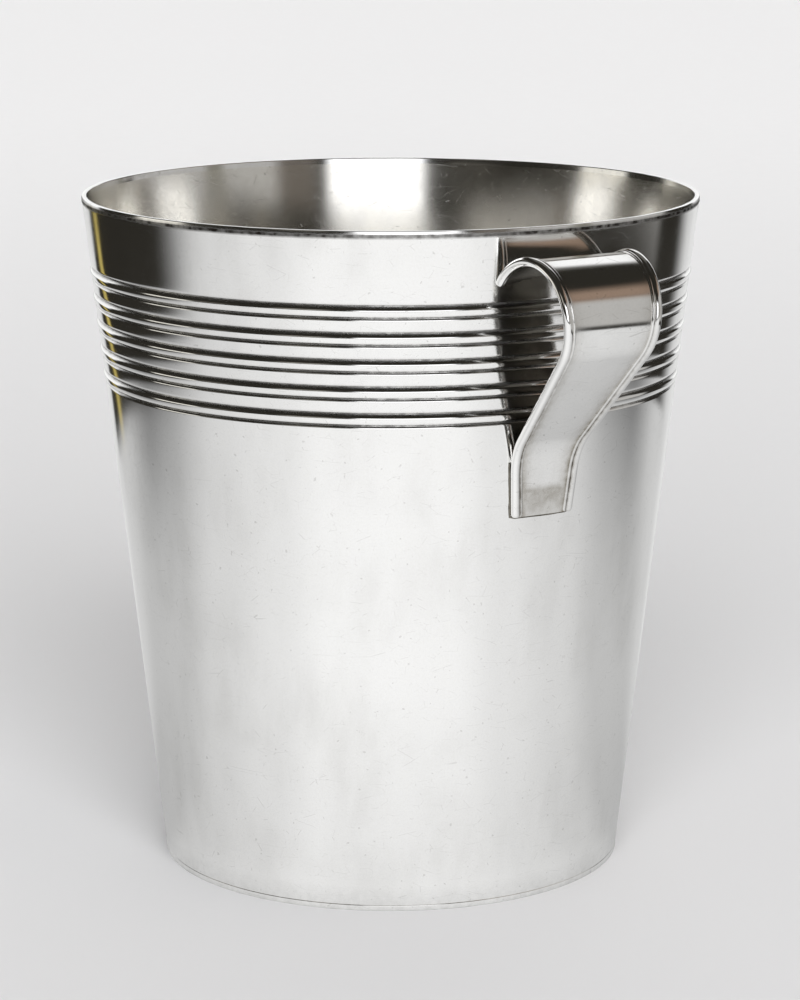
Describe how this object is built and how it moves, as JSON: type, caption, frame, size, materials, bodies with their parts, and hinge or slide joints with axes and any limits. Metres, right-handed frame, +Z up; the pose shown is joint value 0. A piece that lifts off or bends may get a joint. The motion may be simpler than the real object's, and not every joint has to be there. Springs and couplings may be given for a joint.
{
  "type": "champagne bucket",
  "caption": "Tapered silver champagne bucket with raised reeds round the upper wall and a pair of curled strap handles.",
  "frame": {"origin": "middle of the foot, at the height of the table that the bucket stands on", "axes": "+Z up along the bucket's axis, towards the mouth; +X towards the right handle; -Y is the front"},
  "size_m": [0.2584, 0.2, 0.2194],
  "materials": {
    "wall_silver": "worn polish",
    "trim_silver": "polished"
  },
  "bodies": {
    "root": {"body_wall": "wall_silver", "rim_wire": "trim_silver", "foot_ring": "wall_silver", "base_plate": "wall_silver", "right_handle_strap": "trim_silver", "right_handle_front_border": "trim_silver", "right_handle_rear_border": "trim_silver", "left_handle_strap": "trim_silver", "left_handle_front_border": "trim_silver", "left_handle_rear_border": "trim_silver"}
  },
  "joints": []
}
